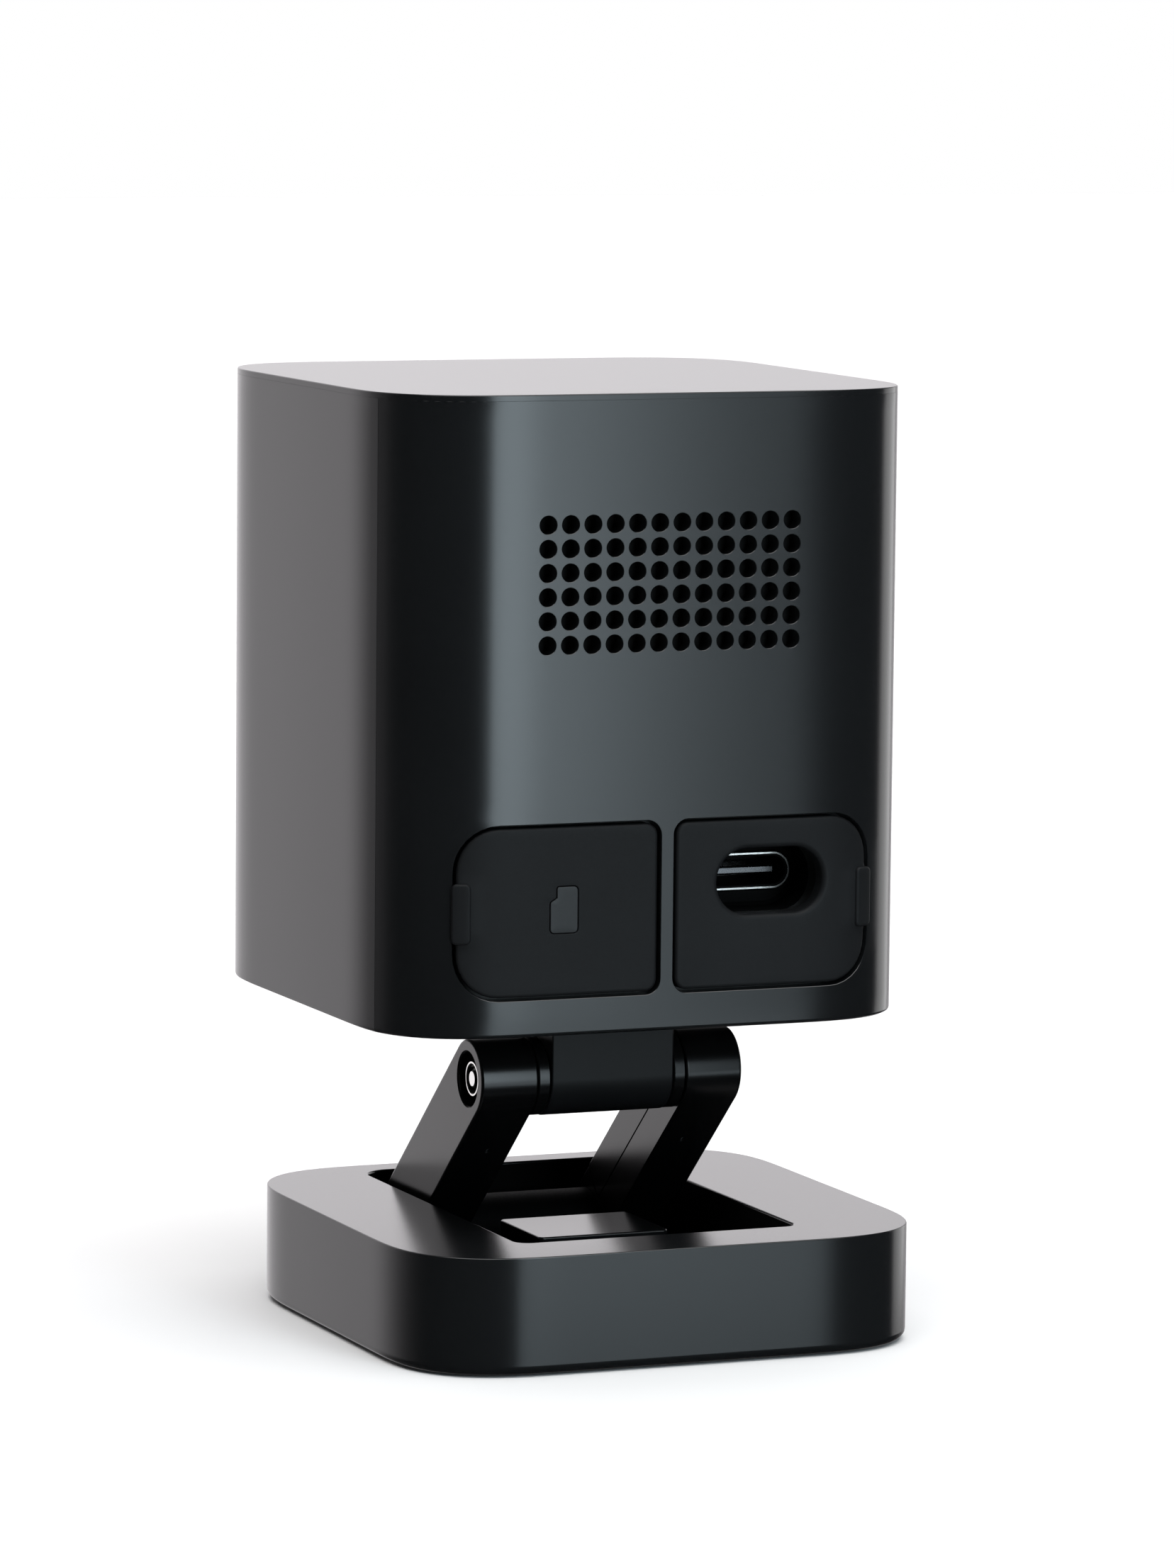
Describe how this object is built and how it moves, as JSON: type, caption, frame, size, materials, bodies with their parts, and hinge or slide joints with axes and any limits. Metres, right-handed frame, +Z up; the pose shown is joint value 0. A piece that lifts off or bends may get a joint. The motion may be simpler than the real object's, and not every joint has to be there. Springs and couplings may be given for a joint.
{
  "type": "wifi camera",
  "caption": "Compact indoor wifi camera: rounded-square head with lens window, speaker grille and covered sockets, on a two-arm folding bracket that hinges into a square weighted base.",
  "frame": {"origin": "centre of the base's underside, on the table", "axes": "+Z up; the lens looks along -Y, and the speaker and sockets face +Y; both stand hinges turn about lines along X"},
  "size_m": [0.0472, 0.0526, 0.0795],
  "materials": {
    "shell": "fine satin moulding, graphite",
    "dark_plastic": "matt black",
    "rubber": "soft matt",
    "steel": "plain",
    "nickel": "nickel plated",
    "window": "polished, tinted black",
    "lens": "coated",
    "lamp": "clear, tinted",
    "board": "solder mask",
    "aluminium": "as extruded",
    "cloth": "woven",
    "copper": "plain"
  },
  "bodies": {
    "base": {"base_shell": "shell", "base_bottom_plate": "dark_plastic", "foot_pad": "rubber", "base_magnet": "nickel", "ballast_left": "steel", "ballast_right": "steel", "base_screw_1": "steel", "base_screw_2": "steel", "base_screw_3": "steel", "base_screw_4": "steel", "lower_hinge_pin": "steel"},
    "bracket": {"bracket_frame": "shell", "arm_lid_left": "shell", "arm_lid_right": "shell", "upper_hinge_pin": "nickel", "friction_washer_left": "dark_plastic", "friction_washer_right": "dark_plastic"},
    "head": {"main_housing": "shell", "rear_cover": "shell", "top_cap": "shell", "bottom_plate": "shell", "hinge_lug": "shell", "case_screw_1": "steel", "case_screw_2": "steel", "case_screw_3": "steel", "case_screw_4": "steel", "lug_screw_1": "steel", "lug_screw_2": "steel", "front_window": "window", "lens_trim_ring": "dark_plastic", "lens_barrel": "dark_plastic", "lens_glass": "lens", "lens_holder": "dark_plastic", "ir_cut_filter": "lamp", "image_sensor": "dark_plastic", "sensor_board": "board", "led_board": "board", "ir_led_1": "lamp", "ir_led_2": "lamp", "status_light_guide": "lamp", "microphone": "steel", "heat_spreader": "aluminium", "speaker_basket": "dark_plastic", "speaker_cone": "cloth", "speaker_cloth": "cloth", "io_board": "board", "usb_c_shell": "nickel", "usb_c_tongue": "dark_plastic", "usb_tunnel": "rubber", "microsd_socket": "steel", "reset_switch": "dark_plastic", "wifi_antenna_left": "copper", "wifi_antenna_right": "copper"},
    "sd_flap": {"sd_cover": "rubber"},
    "usb_flap": {"usb_cover": "rubber"},
    "reset_key": {"reset_button": "rubber"}
  },
  "joints": [
    {"name": "stand_fold", "type": "hinge", "parent": "base", "child": "bracket", "pos_m": [0, -0.0156, 0.0052], "axis": [1, 0, 0], "range_deg": [-25, 49]},
    {"name": "head_tilt", "type": "hinge", "parent": "bracket", "child": "head", "pos_m": [0, 0.00304, 0.02141], "axis": [-1, 0, 0], "range_deg": [-30, 60]},
    {"name": "sd_cover_swing", "type": "hinge", "parent": "head", "child": "sd_flap", "pos_m": [0.0009, 0.01744, 0.0373], "axis": [0, 0, 1], "range_deg": [0, 90]},
    {"name": "usb_cover_swing", "type": "hinge", "parent": "head", "child": "usb_flap", "pos_m": [-0.0009, 0.01744, 0.0373], "axis": [0, 0, -1], "range_deg": [0, 90]},
    {"name": "reset_press", "type": "slide", "parent": "head", "child": "reset_key", "axis": [0, -1, 0], "range_m": [0, 0.0005], "stiffness_N_per_m": 600}
  ]
}
